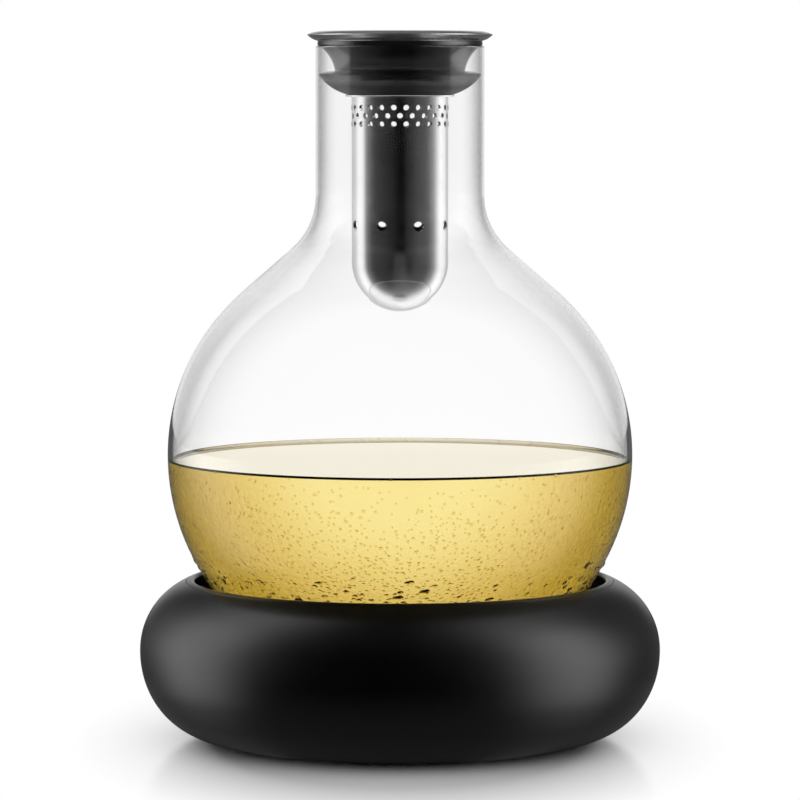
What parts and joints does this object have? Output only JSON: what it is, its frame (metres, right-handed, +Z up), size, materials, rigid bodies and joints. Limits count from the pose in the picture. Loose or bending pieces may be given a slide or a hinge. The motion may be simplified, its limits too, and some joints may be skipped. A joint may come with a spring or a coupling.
{
  "type": "pitcher with ice core",
  "caption": "Round glass carafe with a straight neck, a steel pouring lip and perforated aerating tube, standing in a matte black insulated bowl over a freezable core.",
  "frame": {"origin": "centre of the foot ring, on the surface the bowl stands on", "axes": "+Z up along the common axis of the bowl, the carafe and the tube; -Y towards the picture's camera; +X to its right"},
  "size_m": [0.167, 0.167, 0.2264],
  "materials": {
    "soft_touch_black": "matte",
    "bowl_black": "satin",
    "foam": "matte",
    "plate_black": "matte",
    "screw_steel": "satin",
    "foot_rubber": "matte",
    "core_grey": "satin",
    "core_cover_grey": "satin",
    "gel_blue": "gloss",
    "plug_black": "satin",
    "pad_silicone": "matte",
    "clear_glass": "gloss",
    "white_wine": "gloss",
    "seal_silicone": "satin",
    "lip_steel": "satin",
    "tube_steel": "polished",
    "collar_steel": "polished"
  },
  "bodies": {
    "cooling_bowl": {"cooler_shell": "soft_touch_black", "inner_bowl": "bowl_black", "insulation": "foam", "base_plate": "plate_black", "base_screws": "screw_steel", "foot_ring": "foot_rubber"},
    "ice_core": {"core_case": "core_grey", "core_cover": "core_cover_grey", "core_gel": "gel_blue", "core_plug": "plug_black", "seat_pad": "pad_silicone"},
    "carafe": {"glass_carafe": "clear_glass", "wine": "white_wine"},
    "pouring_insert": {"neck_seal": "seal_silicone", "pouring_lip": "lip_steel"},
    "aerator": {"aerator_tube": "tube_steel", "tube_collar": "collar_steel"}
  },
  "joints": [
    {"name": "core_lift", "type": "slide", "parent": "cooling_bowl", "child": "ice_core", "axis": [0, 0, 1], "range_m": [0, 0.06]},
    {"name": "carafe_lift", "type": "slide", "parent": "ice_core", "child": "carafe", "axis": [0, 0, 1], "range_m": [0, 0.06]},
    {"name": "insert_lift", "type": "slide", "parent": "carafe", "child": "pouring_insert", "axis": [0, 0, 1], "range_m": [0, 0.09]},
    {"name": "tube_pull", "type": "slide", "parent": "pouring_insert", "child": "aerator", "axis": [0, 0, -1], "range_m": [0, 0.02]}
  ]
}
